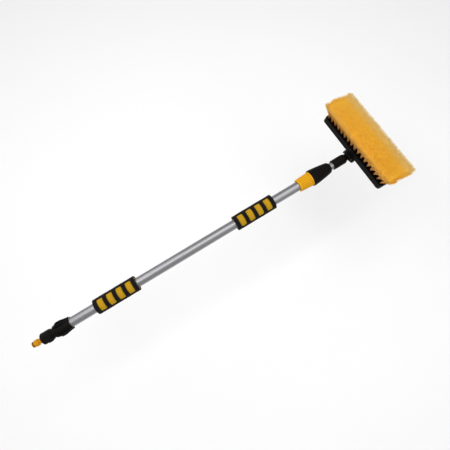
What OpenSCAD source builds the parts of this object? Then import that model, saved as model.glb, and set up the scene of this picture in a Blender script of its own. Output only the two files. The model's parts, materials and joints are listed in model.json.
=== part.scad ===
// Telescopic, water-fed wash brush on a two-section pole.
// The pole's axis is X, from the hose end to the brush; the brush's long side runs along Y and
// its bristles point to +Z. The origin is the middle of the hose nipple's barrel, on the axis.

/* [Hose nipple] */
// Diameter of the barrel that a hose coupling clicks onto
nipple_d = 17.2; // [15:0.1:20]
// Length of the barrel
nipple_barrel = 7.5; // [6:0.5:10]
// Length of the tip in front of the barrel, with the seal groove
nipple_tip = 8; // [7:0.5:10]
// Length of the waist behind the barrel, up to the collar
nipple_waist = 10.5; // [8:0.5:16]
// Diameter of the water bore
water_bore = 9; // [6:0.5:10]

/* [Shut-off valve] */
// Wall of the turning collar, at its corners
collar_wall = 3.37; // [2.8:0.01:6]
// Length of the turning collar
collar_l = 26.4; // [26:0.5:40]
// Number of flats on the collar
collar_flats = 10; // [6:1:12]
// Diameter of the valve body inside the collar
spigot_d = 23.8; // [19:0.1:30]
// Step from the valve body's spigot up to its neck
neck_step = 0.8; // [0.4:0.1:3]
// Length of the neck
neck_l = 7.6; // [5:0.5:15]
// Step from the end sleeve up to the valve body's shoulder
shoulder_step = 1; // [0:0.1:3]
// Length of the shoulder, with its step
shoulder_l = 8.5; // [6:0.5:15]

/* [End sleeve] */
// Height of the fins above the sleeve
fin_h = 4.6; // [4:0.1:8]
// Number of fins
fin_count = 8; // [4:1:12]
// Thickness of one fin
fin_t = 3.2; // [2:0.2:5]
// Wall of the sleeve under the fins
sleeve_wall = 2.45; // [1.6:0.05:5]
// Length of the sleeve
sleeve_l = 36; // [30:1:60]
// Depth to which the outer tube sits in the sleeve
sleeve_grip = 22; // [18:1:28]

/* [Tubes] */
// Outer diameter of the outer tube
outer_d = 25; // [24:0.5:40]
// Wall of the outer tube
outer_wall = 1.2; // [0.8:0.1:1.6]
// Length of outer tube between the end sleeve and the lock
outer_bare = 672.8; // [500:1:1200]
// Gap all round between the two tubes, which the guide bush fills
tube_gap = 1.3; // [1:0.1:2.5]
// Wall of the inner tube
inner_wall = 1; // [0.8:0.1:1.5]
// Inner tube that shows between the lock nut and the head socket, pushed in
inner_bare = 9.5; // [4:0.5:40]
// Gap between the piston and the valve body, pushed in
piston_gap = 14; // [5:1:60]

/* [Grips] */
// Thickness of a grip's inner foam
grip_core_t = 4.9; // [2:0.1:10]
// Thickness of a grip's outer foam
grip_cover_t = 2.9; // [1.5:0.1:6]
// Length of a foam grip
grip_l = 116.4; // [116:1:200]
// Bare tube between the end sleeve and the rear grip
rear_grip_at = 70; // [10:1:150]
// Bare tube between the front grip and the lock
front_grip_at = 79.8; // [10:1:150]
// Number of windows along a grip
window_count = 4; // [1:1:4]
// Length of one window along the pole
window_l = 16.4; // [8:0.2:20]
// Distance from one window to the next
window_pitch = 26.3; // [24:0.1:28]
// Angle that one window covers round the pole
window_angle = 114; // [60:2:140]
// Angle of the windows' middle, from +Z towards -Y
window_turn = 16; // [-30:1:30]

/* [Twist lock] */
// Wall of the lock body at its rear
lock_rear_wall = 4.6; // [3:0.1:8]
// Wall of the lock body at the nut
lock_front_wall = 7.05; // [5:0.05:10]
// Length of the lock body outside the nut
lock_l = 40; // [36:0.5:50]
// Depth to which the outer tube sits in the lock body
lock_grip = 20; // [16:1:24]
// Number of flutes round the lock body
lock_flutes = 20; // [8:1:24]
// Step from the outer tube up to the threaded neck that carries the nut
thread_step = 3; // [2.6:0.1:4]
// Length of the threaded neck
thread_l = 20; // [18:1:24]
// Step from the lock body up to the lock nut's widest part
nut_step = 2.85; // [2:0.05:6]
// Wall of the lock nut round the inner tube, at its front
nut_front_wall = 5.5; // [4.5:0.1:8]
// Length of the lock nut
nut_l = 61; // [58:0.5:80]
// Number of grip grooves round the lock nut
nut_grooves = 16; // [8:1:20]
// Width of the slot in the collet
collet_slot = 2.4; // [1:0.2:4]

/* [Head socket] */
// Wall of the socket on the inner tube
socket_wall = 3.2; // [2.4:0.1:6]
// Length of the socket's straight part
socket_l = 33.5; // [32:0.5:60]
// Length of its taper to the waist
socket_taper = 11.2; // [8:0.5:20]
// Diameter of the waist
waist_d = 14.8; // [13:0.2:16]
// Depth to which the inner tube sits in the socket
socket_grip = 24; // [18:1:28]

/* [Tilting joint] */
// Gap between the ears and the end of the socket's taper
ear_clear = 0.2; // [0.2:0.1:4]
// Diameter of the hinge pin
pin_d = 8; // [6.6:0.1:12]
// Wall of the ears and of the eye round the pin
ear_wall = 3.8; // [3:0.1:6]
// Width of the eye along the pin
eye_w = 15.6; // [15:0.2:20]
// Greatest width over the two ears
ears_w = 29; // [27:0.5:36]
// Gap between the eye and the block's back
pivot_clear = 5.2; // [1:0.1:12]
// Distance from the pivot to the block's near edge
pivot_edge = 5.5; // [5:0.5:12]
// Tilt of the block against the pole
head_tilt = 15; // [0:1:40]

/* [Brush] */
// Length of the brush block
block_l = 240; // [190:1:400]
// Width of the brush block
block_w = 70; // [66:1:120]
// Thickness of the brush block
block_t = 15; // [14:0.5:25]
// Radius of the block's corners
block_r = 8; // [4:0.5:14]
// Distance from the block's rim to the outer tufts' middles
tuft_margin = 8.5; // [7:0.5:12]
// Number of tufts in a row
tufts = 17; // [8:1:20]
// Length of the bristles
bristle_l = 45; // [25:1:70]
// Width of a tuft at its root, along the row
tuft_root = 6; // [4:0.2:8]
// Depth of a tuft at its root, across the row
tuft_depth = 7.2; // [4:0.2:8]
// Depth of a tuft at its tip, across the row
tip_depth = 12.8; // [8:0.2:13]
// How far the bristle tips stand out past the roots, along each long side
flare_side = 18; // [14:0.5:24]
// How far the bristle tips stand out past the roots, at each end
flare_end = 18; // [0:1:24]

/* [Fits] */
// Radial clearance of a piece that turns or slides in another
running = 0.08; // [0.02:0.01:0.1]
// Radial clearance of a piece that is fixed in another
seat = 0.05; // [0.02:0.01:0.1]
// Gap that moving pieces keep where they only pass each other
pass = 0.35; // [0.3:0.05:1]

/* [Hidden] */
$fn = 64;

// Length added where a cut must run past a face
over = 1;

// Sealing rings and their grooves
oring_r = 0.9;
oring_slack = 0.04;
groove_l = 2 * oring_r + 0.6;
groove_depth = 2 * oring_r + 0.05;

// Hose nipple, from its tip
tip_x = -nipple_tip - nipple_barrel / 2;
barrel_x = tip_x + nipple_tip;
barrel_end = barrel_x + nipple_barrel;
waist_r = nipple_d / 2 - 2;
nipple_groove_x = tip_x + 2;
nipple_tip_r = nipple_d / 2 - 1.5;
nipple_groove_r = nipple_tip_r - 1.4;

// Valve, from the collar's outer face inwards
collar_x = barrel_end + nipple_waist;
collar_end = collar_x + collar_l;
collar_wall_l = 3;
flange_l = 3;
washer_l = 2;
rotor_l = 4;
seat_l = 3;
flange_x = collar_x + collar_wall_l;
rotor_x = flange_x + flange_l + washer_l;
spigot_x = rotor_x + rotor_l + 0.15;
spigot_r = spigot_d / 2;
collar_bore = spigot_r + running;
collar_r = collar_bore + collar_wall;
port_r = 2.6;
port_at = 5.4;
seat_r = spigot_r - 1.6;
spigot_groove_x = spigot_x + seat_l + 2.4;
clip_l = 1.4;
clip_x = collar_end - 4.4;
clip_r = collar_bore + 0.7;
neck_r = spigot_r + neck_step;
neck_x = collar_end + 0.2;
shoulder_x = neck_x + neck_l;
sleeve_x = shoulder_x + shoulder_l;

// End sleeve and the stem inside it
sleeve_end = sleeve_x + sleeve_l;
tube_x = sleeve_end - sleeve_grip;
outer_r = outer_d / 2;
outer_in = outer_r - outer_wall;
stem_r = outer_r + 0.5;
sleeve_r = stem_r + seat + sleeve_wall;
fin_r = sleeve_r + fin_h;
shoulder_r = sleeve_r + shoulder_step;
stem_tail = 16;
stem_end = tube_x + stem_tail;
stem_groove_x = stem_end - 5;
sleeve_screw_x = tube_x + 6;
screw_r = 1.4;
screw_head_r = 2.8;
screw_head_t = 1.6;

// Twist lock
lock_rear_r = outer_r + seat + lock_rear_wall;
lock_front_r = outer_r + seat + lock_front_wall;
thread_r = outer_r + thread_step;
nut_r = lock_front_r + nut_step;
lock_x = sleeve_end + outer_bare;
lock_end = lock_x + lock_l;
tube_end = lock_x + lock_grip;
nut_lap = 0.9;
nut_x = lock_end - nut_lap;
nut_end = nut_x + nut_l;
inner_r = outer_in - tube_gap;
inner_in = inner_r - inner_wall;
bush_flange = 1.6;
bush_l = 22;
collet_x = tube_end + bush_flange + 1;
thread_end = lock_end + thread_l;
collet_rear_r = outer_r - 0.4;
collet_front_r = outer_r + 1;
collet_flange_x = thread_end + 1.5;
collet_flange_l = 3;
collet_flange_r = thread_r - 0.6;
flute_r = 1.6;
flute_depth = 1.1;
nut_groove_r = 1.7;
nut_groove_depth = 1.2;
collet_end = collet_flange_x + collet_flange_l;
wiper_x = nut_end - 11;
wiper_l = 4;
wiper_r = inner_r + 2.6;
nut_front_r = inner_r + nut_front_wall;

// Grips
rear_grip_x = sleeve_end + rear_grip_at;
front_grip_x = lock_x - front_grip_at - grip_l;
grip_core_r = outer_r + grip_core_t;
grip_r = grip_core_r + grip_cover_t;

// Inner tube, piston and head socket
socket_r = inner_r + socket_wall;
socket_x = nut_end + inner_bare;
inner_end = socket_x + socket_grip;
piston_x = stem_end + piston_gap;
piston_head = 18;
piston_tail = 14;
inner_x = piston_x + piston_head;
piston_r = outer_in - running;
piston_groove = [piston_x + 3, piston_x + 11];
piston_oring_mid = outer_in - oring_r - oring_slack;
socket_end = socket_x + socket_l;
taper_end = socket_end + socket_taper;
socket_screw_x = socket_x + 12;
socket_seal_t = 1.8;
neck_waist_r = waist_d / 2;
eye_spigot_r = neck_waist_r - 2.2;
eye_spigot_l = 16;
neck_bore = 2.6;
ear_r = pin_d / 2 + ear_wall;
pivot_x = taper_end + ear_r + ear_clear;

// Tilting joint, in the head's own frame: the pin along Y, the block's back at block_back
pin_r = pin_d / 2;
pin_bore = pin_r - 1.6;
cross_bore = 1.2;
pin_oring_r = 0.5;
pin_oring_at = 4.6;
pin_oring_mid = pin_r - pin_oring_r + 0.03;
ear_gap = 0.3;
ear_in = eye_w / 2 + ear_gap;
ear_foot = 16;
pin_head_t = 2.6;
washer_t = 1.2;
cap_t = 5.4;
port_y = ear_in + 2.6;
passage_r = 1.5;

// Brush block, in the head's own frame
block_back = ear_r + pivot_clear;
block_front = block_back + block_t;
block_mid = block_w / 2 - pivot_edge;
cavity_l = block_l - 34;
cavity_w = block_w - 32;
cavity_mid = block_mid + 8;
cavity_d = 6;
cover_lap = 4;
cover_t = 2.4;
gasket_t = 0.8;
cover_screw_r = 1.5;
jet_r = 2.2;
jet_bore = 0.9;
jet_stand = 1.5;
rows = 7;
row_pitch = (block_w - 2 * tuft_margin) / (rows - 1);
tuft_pitch = (block_l - 2 * tuft_margin) / (tufts - 1);

// A piece turned about the pole's axis, from points of [radius, place along X]
module turned(points) rotate([0, 90, 0]) rotate_extrude() polygon(points);

// A plain tube on the pole's axis
module pipe(outside, inside, from, to)
    turned([[inside, from], [outside, from], [outside, to], [inside, to]]);

// A round bar on the pole's axis
module bar(radius, from, to)
    translate([from, 0, 0]) rotate([0, 90, 0]) cylinder(r = radius, h = to - from);

// A sealing ring of round section on the pole's axis
module o_ring(middle, section, at)
    translate([at, 0, 0]) rotate([0, 90, 0]) rotate_extrude() translate([middle, 0])
        circle(r = section, $fn = 24);

// A round bar along Y, in the head's frame
module pin_bar(radius, from, to)
    translate([0, to, 0]) rotate([90, 0, 0]) cylinder(r = radius, h = to - from);

// A screw with a pan head, its seat at height 0 and its shank going down
module pan_screw(shank, head, head_t, length) {
    translate([0, 0, -length]) cylinder(r = shank, h = length + 0.2);
    cylinder(r1 = head, r2 = head * 0.7, h = head_t);
}

// Places the head's frame: its X across the block and its Z along the bristles
module head_frame() translate([pivot_x, 0, 0]) rotate([0, head_tilt, 0]) children();

// ---- Hose nipple ----

module hose_nipple() color("darkorange") {
    groove_end = nipple_groove_x + groove_l;
    tip_r = nipple_tip_r;
    bore = water_bore / 2;
    turned([[bore, tip_x], [tip_r - 0.6, tip_x], [tip_r, tip_x + 0.8], [tip_r, nipple_groove_x],
        [nipple_groove_r, nipple_groove_x], [nipple_groove_r, groove_end], [tip_r + 0.1, groove_end],
        [tip_r + 0.1, barrel_x - 1.8], [nipple_d / 2, barrel_x], [nipple_d / 2, barrel_end],
        [waist_r, barrel_end + 1.8], [waist_r, flange_x], [collar_bore - seat, flange_x],
        [collar_bore - seat, flange_x + flange_l], [bore, flange_x + flange_l]]);
}

module nipple_o_ring() color("black")
    o_ring(nipple_groove_r + oring_r + 0.02, oring_r, nipple_groove_x + groove_l / 2);

module nipple_washer() color("dimgray")
    pipe(collar_bore - seat, water_bore / 2, flange_x + flange_l, rotor_x);

// ---- Shut-off valve ----

module valve_collar() color("#1c1c1e") difference() {
    union() {
        intersection() {
            translate([collar_x, 0, 0]) rotate([0, 90, 0])
                cylinder(r = collar_r, h = collar_l, $fn = collar_flats);
            turned([[0, collar_x], [collar_r - 2.2, collar_x],
                [collar_r - 0.2, collar_x + 2.2], [collar_r - 0.2, collar_end - 3],
                [collar_r - 1.1, collar_end - 2.6], [collar_r - 1.1, collar_end],
                [0, collar_end]]);
        }
        // Pointer that shows which way the valve stands
        translate([collar_x + 12, -collar_r - 1.2, -2]) cube([11, 4, 4]);
    }
    bar(nipple_d / 2 + 1.2, collar_x - over, collar_x + collar_wall_l + over);
    bar(collar_bore, collar_x + collar_wall_l, collar_end + over);
    bar(clip_r + 0.1, clip_x - 0.15, clip_x + clip_l + 0.15);
}

module ported_disc(radius, from, to) difference() {
    bar(radius, from, to);
    for (side = [-1, 1]) translate([0, side * port_at, 0]) bar(port_r, from - over, to + over);
}

module valve_rotor() color("gainsboro") ported_disc(collar_bore - seat, rotor_x, rotor_x + rotor_l);

module valve_seat() color("whitesmoke") ported_disc(seat_r - seat, spigot_x, spigot_x + seat_l);

module collar_clip() color("silver") difference() {
    pipe(clip_r, spigot_r - 0.95, clip_x, clip_x + clip_l);
    translate([clip_x - over, -2, 0]) cube([clip_l + 2 * over, 4, clip_r + over]);
}

module spigot_o_ring() color("black")
    o_ring(collar_bore - oring_r - oring_slack, oring_r, spigot_groove_x + groove_l / 2);

module valve_body() color("#202022") difference() {
    turned([[water_bore / 2, spigot_x + seat_l], [seat_r, spigot_x + seat_l], [seat_r, spigot_x],
        [spigot_r, spigot_x], [spigot_r, spigot_groove_x],
        [spigot_r - groove_depth, spigot_groove_x],
        [spigot_r - groove_depth, spigot_groove_x + groove_l],
        [spigot_r, spigot_groove_x + groove_l], [spigot_r, clip_x - 0.05],
        [spigot_r - 1, clip_x - 0.05], [spigot_r - 1, clip_x + clip_l + 0.05],
        [spigot_r, clip_x + clip_l + 0.05], [spigot_r, neck_x],
        [neck_r, neck_x], [neck_r, shoulder_x], [shoulder_r - 1.75, shoulder_x],
        [shoulder_r - 1.75, shoulder_x + 3], [shoulder_r, shoulder_x + 3.6],
        [shoulder_r, sleeve_x], [stem_r, sleeve_x], [stem_r, tube_x],
        [outer_in - seat, tube_x], [outer_in - seat, stem_groove_x],
        [outer_in - groove_depth, stem_groove_x],
        [outer_in - groove_depth, stem_groove_x + groove_l],
        [outer_in - seat, stem_groove_x + groove_l], [outer_in - seat, stem_end],
        [water_bore / 2, stem_end]]);
    // Flat that deepens one side of the neck
    translate([neck_x + 0.6, neck_r - 3.4, -neck_r])
        cube([neck_l - 0.6, neck_r, 2 * neck_r]);
    // Blind hole for the sleeve's screw
    translate([sleeve_screw_x, 0, -stem_r - over]) cylinder(r = screw_r + seat, h = 7);
}

module stem_o_ring() color("black")
    o_ring(outer_in - oring_r - oring_slack, oring_r, stem_groove_x + groove_l / 2);

// ---- End sleeve ----

module end_sleeve() color("#19191b") difference() {
    union() {
        pipe(sleeve_r, stem_r + seat, sleeve_x, tube_x);
        turned([[outer_r + seat, tube_x], [sleeve_r, tube_x],
            [sleeve_r - 0.6, sleeve_end - 1.5], [sleeve_r - 1.4, sleeve_end],
            [outer_r + seat, sleeve_end]]);
        for (i = [0 : fin_count - 1])
            rotate([(i + 0.5) * 360 / fin_count, 0, 0]) sleeve_fin();
    }
    translate([sleeve_screw_x, 0, -fin_r]) cylinder(r = screw_r + seat, h = fin_r);
}

module sleeve_fin() {
    root = stem_r + 1;
    top = fin_r;
    translate([0, fin_t / 2, 0]) rotate([90, 0, 0]) linear_extrude(fin_t)
        polygon([[sleeve_x, root], [sleeve_x, top - 1.4], [sleeve_x + 3.5, top],
            [sleeve_x + 13, top], [sleeve_x + sleeve_l * 0.6, top - 1.6],
            [sleeve_x + sleeve_l * 0.85, top - 3.3], [sleeve_end, top - 3.5],
            [sleeve_end, root]]);
}

module sleeve_screw() color("silver") translate([sleeve_screw_x, 0, -sleeve_r])
    rotate([180, 0, 0]) pan_screw(screw_r, screw_head_r, screw_head_t,
        sleeve_r - outer_in + 3);

// ---- Outer tube and grips ----

module outer_tube() color("#b4b6ba") difference() {
    pipe(outer_r, outer_in, tube_x, tube_end);
    translate([sleeve_screw_x, 0, -outer_r - over]) cylinder(r = screw_r + seat, h = outer_r);
}

module grip_core(from) color("gold") pipe(grip_core_r, outer_r + seat, from, from + grip_l);

module grip_cover(from) color("#222224") difference() {
    pipe(grip_r, grip_core_r + seat, from, from + grip_l);
    for (side = [0, 180], i = [0 : window_count - 1]) {
        first = from + (grip_l - window_l - (window_count - 1) * window_pitch) / 2;
        rotate([window_turn + side, 0, 0]) window_cut(first + i * window_pitch);
    }
}

// A sector that opens one window, centred on +Z
module window_cut(from) translate([from, 0, 0]) rotate([0, 90, 0])
    rotate([0, 0, 180 - window_angle / 2]) rotate_extrude(angle = window_angle)
        translate([grip_core_r - over, 0]) square([grip_r - grip_core_r + 2 * over, window_l]);

module rear_grip_core() grip_core(rear_grip_x);
module rear_grip_cover() grip_cover(rear_grip_x);
module front_grip_core() grip_core(front_grip_x);
module front_grip_cover() grip_cover(front_grip_x);

// ---- Twist lock ----

module lock_body() color("gold") difference() {
    turned([[outer_r + seat, lock_x], [lock_rear_r - 0.8, lock_x],
        [lock_rear_r, lock_x + 1], [lock_front_r, lock_end], [thread_r, lock_end],
        [thread_r, thread_end - 1], [thread_r - 0.8, thread_end],
        [collet_front_r + 0.35, thread_end], [collet_rear_r + 0.35, collet_x - 0.4],
        [outer_r + seat, collet_x - 0.4]]);
    for (i = [0 : lock_flutes - 1]) rotate([i * 360 / lock_flutes, 0, 0]) lock_flute();
}

// One flute, laid along the lock body's taper and ending short of the nut
module lock_flute() {
    slope = atan((lock_front_r - lock_rear_r) / lock_l);
    translate([lock_x + 4, 0, lock_rear_r + flute_r - flute_depth]) rotate([0, 90 - slope, 0])
        cylinder(r = flute_r, h = lock_l - 8, $fn = 24);
}

module guide_bush() color("dimgray")
    turned([[inner_r + running, tube_end - bush_l], [outer_in - seat, tube_end - bush_l],
        [outer_in - seat, tube_end], [outer_r, tube_end], [outer_r, tube_end + bush_flange],
        [inner_r + running, tube_end + bush_flange]]);

module lock_collet() color("ivory") difference() {
    turned([[inner_r + running, collet_x], [collet_rear_r, collet_x],
        [collet_front_r, thread_end], [collet_front_r, collet_flange_x],
        [collet_flange_r, collet_flange_x], [collet_flange_r, collet_end],
        [inner_r + running, collet_end]]);
    translate([collet_x - over, -collet_slot / 2, 0])
        cube([collet_end - collet_x + 2 * over, collet_slot, 2 * thread_r]);
}

// Radius of the lock nut's grip, a share t of the way along its convex taper
function nut_radius(t) = nut_r - (nut_r - nut_front_r) * pow(t, 1.25);

module lock_nut() color("#1b1b1d") difference() {
    taper_x = nut_x + 5;
    taper_l = nut_l - 9.5;
    turned(concat([[inner_r + pass, nut_x + over], [lock_front_r + pass, nut_x + over],
        [lock_front_r + pass, nut_x], [nut_r - 1, nut_x], [nut_r, nut_x + 1.2]],
        [for (t = [0 : 0.125 : 1]) [nut_radius(t), taper_x + t * taper_l]],
        [[nut_front_r - 3.4, nut_end], [inner_r + pass, nut_end]]));
    bar(thread_r + running, nut_x, collet_flange_x - 0.1);
    bar(collet_flange_r + 0.3, nut_x, collet_end + 0.1);
    bar(wiper_r, wiper_x, wiper_x + wiper_l);
    for (i = [0 : nut_grooves - 1]) rotate([(i + 0.5) * 360 / nut_grooves, 0, 0]) nut_groove();
}

// One grip groove, laid along the nut's taper
module nut_groove() {
    slope = atan((nut_front_r - nut_r) / nut_l);
    translate([nut_x + 6, 0, nut_r + nut_groove_r - nut_groove_depth]) rotate([0, 90 - slope, 0])
        cylinder(r = nut_groove_r, h = nut_l * 0.62, $fn = 24);
}

module wiper_ring() color("black")
    turned([[inner_r + running, wiper_x], [wiper_r - seat, wiper_x],
        [wiper_r - seat, wiper_x + wiper_l], [inner_r + 1.4, wiper_x + wiper_l]]);

// ---- Inner tube ----

module inner_tube() color("#c2c4c8") difference() {
    pipe(inner_r, inner_in, inner_x, inner_end);
    translate([socket_screw_x, 0, -inner_r - over]) cylinder(r = screw_r + seat, h = inner_r);
}

module piston_plug() color("dimgray") difference() {
    turned([[water_bore / 2, piston_x], [piston_r, piston_x], [piston_r, inner_x],
        [inner_in - seat, inner_x], [inner_in - seat, inner_x + piston_tail],
        [water_bore / 2, inner_x + piston_tail]]);
    for (at = piston_groove)
        pipe(outer_in + over, outer_in - groove_depth - oring_slack, at, at + groove_l);
}

module piston_o_rings() color("black")
    for (at = piston_groove) o_ring(piston_oring_mid, oring_r, at + groove_l / 2);

// ---- Head socket ----

module head_socket() color("#1e1e20") difference() {
    taper = [for (t = [0 : 0.2 : 1])
        [neck_waist_r + (socket_r - neck_waist_r) * cos(90 * t), socket_end + t * socket_taper]];
    turned(concat([[inner_r + seat, socket_x], [socket_r - 0.8, socket_x],
        [socket_r, socket_x + 0.8]], taper,
        [[eye_spigot_r + seat, taper_end], [eye_spigot_r + seat, taper_end - eye_spigot_l],
        [neck_bore, taper_end - eye_spigot_l], [neck_bore, inner_end + socket_seal_t],
        [inner_r + seat, inner_end + socket_seal_t]]));
    translate([socket_screw_x, 0, -socket_r - over])
        cylinder(r = screw_r + seat, h = socket_r);
}

module socket_seal() color("black")
    pipe(inner_r - seat, inner_in - 1.4, inner_end, inner_end + socket_seal_t);

module socket_screw() color("silver") translate([socket_screw_x, 0, -socket_r])
    rotate([180, 0, 0]) pan_screw(screw_r, screw_head_r, screw_head_t,
        socket_r - inner_in + 2);

module neck_eye() color("#242426") difference() {
    union() {
        bar(eye_spigot_r, taper_end - eye_spigot_l, taper_end);
        bar(neck_waist_r, taper_end, pivot_x);
        translate([pivot_x, 0, 0]) pin_bar(ear_r, -eye_w / 2, eye_w / 2);
    }
    bar(neck_bore, taper_end - eye_spigot_l - over, pivot_x);
    translate([pivot_x, 0, 0]) pin_bar(pin_r + running, -eye_w, eye_w);
    translate([pivot_x, 0, 0]) pin_bar(pin_r + 0.9, -1.6, 1.6);
}

// ---- Tilting joint ----

module hinge_pin() color("silver") head_frame() difference() {
    union() {
        pin_bar(pin_r, -ears_w / 2 - washer_t - cap_t + 1.4, ears_w / 2);
        pin_bar(pin_r + 2.2, ears_w / 2, ears_w / 2 + pin_head_t - 0.8);
        translate([0, ears_w / 2 + pin_head_t - 0.8, 0]) rotate([-90, 0, 0])
            cylinder(r1 = pin_r + 2.2, r2 = pin_r + 1.2, h = 0.8);
    }
    pin_bar(pin_bore, -port_y - 1.6, port_y + 1.6);
    for (y = [-port_y, port_y]) translate([0, y, 0]) cylinder(r = cross_bore, h = pin_d);
    translate([-pin_d, 0, 0]) rotate([0, 90, 0]) cylinder(r = cross_bore, h = 2 * pin_d);
    for (y = [-pin_oring_at, pin_oring_at]) difference() {
        pin_bar(pin_d, y - 0.7, y + 0.7);
        pin_bar(pin_oring_mid - pin_oring_r - 0.04, y - over, y + over);
    }
}

module pin_o_rings() color("black") head_frame()
    for (y = [-pin_oring_at, pin_oring_at]) translate([0, y, 0]) rotate([90, 0, 0])
        rotate_extrude() translate([pin_oring_mid, 0]) circle(r = pin_oring_r, $fn = 24);

module pin_washer() color("silver") head_frame() difference() {
    pin_bar(pin_r + 3, -ears_w / 2 - washer_t, -ears_w / 2);
    pin_bar(pin_r + seat, -ears_w, -ears_w / 2 + over);
}

module pin_cap_nut() color("#222224") head_frame() difference() {
    cap_y = -ears_w / 2 - washer_t;
    union() {
        pin_bar(pin_r + 2, cap_y - cap_t + 1.5, cap_y);
        translate([0, cap_y - cap_t + 1.5, 0]) rotate([90, 0, 0])
            cylinder(r1 = pin_r + 2, r2 = pin_r, h = 1.5);
    }
    pin_bar(pin_r + seat, cap_y - cap_t + 1.4, cap_y + over);
}

// ---- Brush head ----

module brush_block() color("#1d1d1f") head_frame() difference() {
    union() {
        translate([0, 0, block_back]) linear_extrude(block_t) block_outline();
        for (side = [-1, 1]) scale([1, side, 1]) ear();
    }
    pin_bar(pin_r + seat, -ears_w, ears_w);
    translate([cavity_mid, 0, block_back - over]) linear_extrude(cover_t + gasket_t + over)
        rounded(cavity_w + 2 * cover_lap, cavity_l + 2 * cover_lap, 5);
    translate([cavity_mid, 0, block_back]) linear_extrude(cover_t + gasket_t + cavity_d)
        rounded(cavity_w, cavity_l, 3);
    for (y = [-port_y, port_y]) {
        translate([0, y, 0]) cylinder(r = passage_r, h = block_back + 8.5);
        translate([0, y, block_back + 7]) rotate([0, 90, 0])
            cylinder(r = passage_r, h = cavity_mid - cavity_w / 2 + over);
    }
    for (y = jet_places()) translate([block_mid, y, block_back])
        cylinder(r = jet_r + seat, h = block_t + over);
    for (p = cover_screw_places()) translate([p[0], p[1], block_back])
        cylinder(r = cover_screw_r + seat, h = cover_t + gasket_t + 5);
}

// Outline of the block in the head's frame
module block_outline() translate([block_mid, 0]) rounded(block_w, block_l, block_r);

// A rectangle with round corners about the origin
module rounded(x, y, r) hull()
    for (i = [-1, 1], j = [-1, 1])
        translate([i * (x / 2 - r), j * (y / 2 - r)]) circle(r = r, $fn = 32);

// The ear on the +Y side: its side view and its plan, crossed
module ear() intersection() {
    translate([0, ears_w, 0]) rotate([90, 0, 0]) linear_extrude(2 * ears_w) union() {
        circle(r = ear_r);
        translate([-pivot_edge, 0]) square([ear_foot, block_back]);
    }
    translate([0, 0, -2 * ear_r]) linear_extrude(2 * ear_r + block_back)
        polygon([[-2 * ear_r, ear_in], [-2 * ear_r, ear_in + 0.6], [-ear_r - 0.5, ear_in + 0.6],
            [1, ears_w / 2], [2 * ear_r, ears_w / 2], [2 * ear_r, ear_in]]);
}

// The jets stand in every second gap between tufts, alike on both sides of the middle
function jet_places() = [for (k = [0 : tufts - 2]) if (abs(2 * k + 2 - tufts) % 4 == tufts % 2)
    (k + 1 - tufts / 2) * tuft_pitch];

function cover_screw_places() = [for (i = [-1, 1], j = [-1, 0, 1])
    [cavity_mid + i * (cavity_w / 2 + cover_lap / 2), j * (cavity_l / 2 - 10)]];

// Outline of the channel's cover, 0.1 mm inside its recess
module cover_outline()
    rounded(cavity_w + 2 * cover_lap - 0.2, cavity_l + 2 * cover_lap - 0.2, 4.9);

module channel_gasket() color("black") head_frame() difference() {
    translate([cavity_mid, 0, block_back + cover_t]) linear_extrude(gasket_t)
        cover_outline();
    translate([cavity_mid, 0, block_back + cover_t - over]) linear_extrude(gasket_t + 2 * over)
        rounded(cavity_w, cavity_l, 3);
    for (p = cover_screw_places()) translate([p[0], p[1], block_back])
        cylinder(r = cover_screw_r + seat, h = cover_t + gasket_t + over);
}

module channel_cover() color("#2a2a2c") head_frame() difference() {
    translate([cavity_mid, 0, block_back]) linear_extrude(cover_t)
        cover_outline();
    for (p = cover_screw_places()) translate([p[0], p[1], block_back - over])
        cylinder(r = cover_screw_r + seat, h = cover_t + 2 * over);
}

module cover_screws() color("silver") head_frame()
    for (p = cover_screw_places()) translate([p[0], p[1], block_back]) rotate([180, 0, 0])
        pan_screw(cover_screw_r, screw_head_r, 1.4, cover_t + gasket_t + 4);

module jet_nozzles() color("darkorange") head_frame()
    for (y = jet_places()) translate([block_mid, y, block_back + cover_t + gasket_t + cavity_d - 1])
        difference() {
            cylinder(r = jet_r, h = block_t - cover_t - gasket_t - cavity_d + 1 + jet_stand);
            translate([0, 0, -over]) cylinder(r = jet_bore, h = block_t + over);
        }

// One row of tufts: the outline along the row, crossed with the outline across it. The row leans
// outwards, is narrow at its roots and closes up towards its tips, which lie in one plane.
module tuft_row(i) color("gold") head_frame() {
    place = i - (rows - 1) / 2;
    root_x = block_mid + place * row_pitch;
    tip_x = root_x + 2 * place / (rows - 1) * flare_side;
    intersection() {
        translate([block_mid - block_w, 0, block_front]) rotate([90, 0, 90])
            linear_extrude(2 * block_w) comb();
        translate([0, block_l, block_front]) rotate([90, 0, 0]) linear_extrude(2 * block_l)
            polygon([[root_x - tuft_depth / 2, 0], [root_x + tuft_depth / 2, 0],
                [tip_x + tip_depth / 2, bristle_l], [tip_x - tip_depth / 2, bristle_l]]);
    }
}

// Outline along a row: one tooth for each tuft, spread out towards the tips
module comb() {
    spread = flare_end / (block_l / 2 - tuft_margin);
    half_tip = tuft_pitch * (1 + spread) / 2 + 0.2;
    closed_at = 0.62 * bristle_l;
    for (k = [0 : tufts - 1]) {
        y = (k - (tufts - 1) / 2) * tuft_pitch;
        tip_y = y * (1 + spread);
        polygon([[y - tuft_root / 2, 0], [y + tuft_root / 2, 0], [tip_y + half_tip, closed_at],
            [tip_y + half_tip, bristle_l], [tip_y - half_tip, bristle_l],
            [tip_y - half_tip, closed_at]]);
    }
}

module tuft_row_1() tuft_row(0);
module tuft_row_2() tuft_row(1);
module tuft_row_3() tuft_row(2);
module tuft_row_4() tuft_row(3);
module tuft_row_5() tuft_row(4);
module tuft_row_6() tuft_row(5);
module tuft_row_7() tuft_row(6);

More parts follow.
